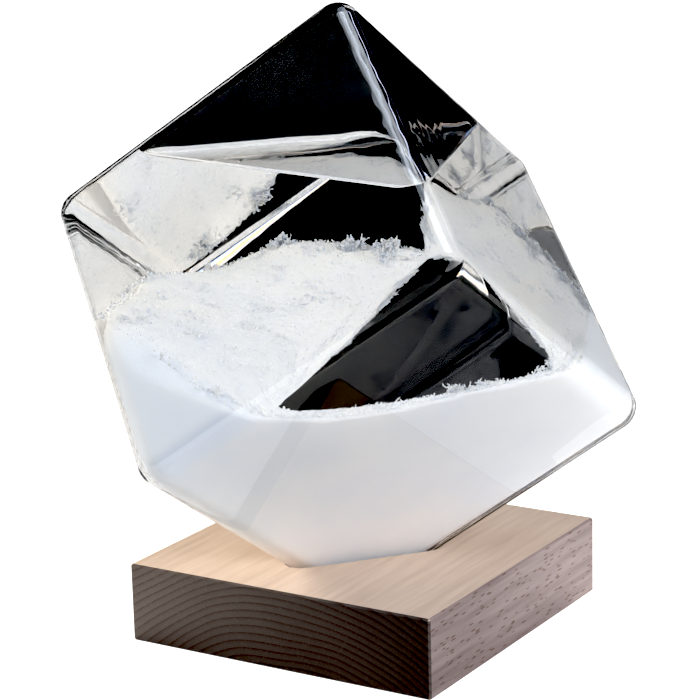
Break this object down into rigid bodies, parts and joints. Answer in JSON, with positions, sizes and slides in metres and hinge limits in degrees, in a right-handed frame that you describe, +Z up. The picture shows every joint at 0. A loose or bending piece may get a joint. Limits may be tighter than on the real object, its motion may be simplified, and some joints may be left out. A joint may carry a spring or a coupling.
{
  "type": "storm glass",
  "caption": "Sealed glass cube of liquid and white crystals, standing on one corner in a square beech block it lifts out of.",
  "frame": {"origin": "on the cube's upright body diagonal, in the plane of the pads' undersides, where the part rests", "axes": "+Z up along the cube's body diagonal; X and Y along the sides of the beech block, whose end grain faces -Y and +Y"},
  "size_m": [0.1164, 0.1226, 0.1359],
  "materials": {
    "beech": "satin",
    "pad_rubber": "matte",
    "clear_glass": "polished",
    "milky_silicone": "satin",
    "clear_resin": "gloss",
    "storm_liquid": "gloss",
    "packed_crystals": "matte",
    "loose_crystals": "matte"
  },
  "bodies": {
    "base": {"wooden_base": "beech", "base_pad_1": "pad_rubber", "base_pad_2": "pad_rubber", "base_pad_3": "pad_rubber", "base_pad_4": "pad_rubber"},
    "glass": {"glass_cube": "clear_glass", "fill_plug": "milky_silicone", "plug_seal": "clear_resin", "storm_liquid": "storm_liquid", "crystal_bed": "packed_crystals", "crystal_growth": "loose_crystals"}
  },
  "joints": [
    {"name": "glass_lift", "type": "slide", "parent": "base", "child": "glass", "axis": [0, 0, 1], "range_m": [0, 0.03]}
  ]
}
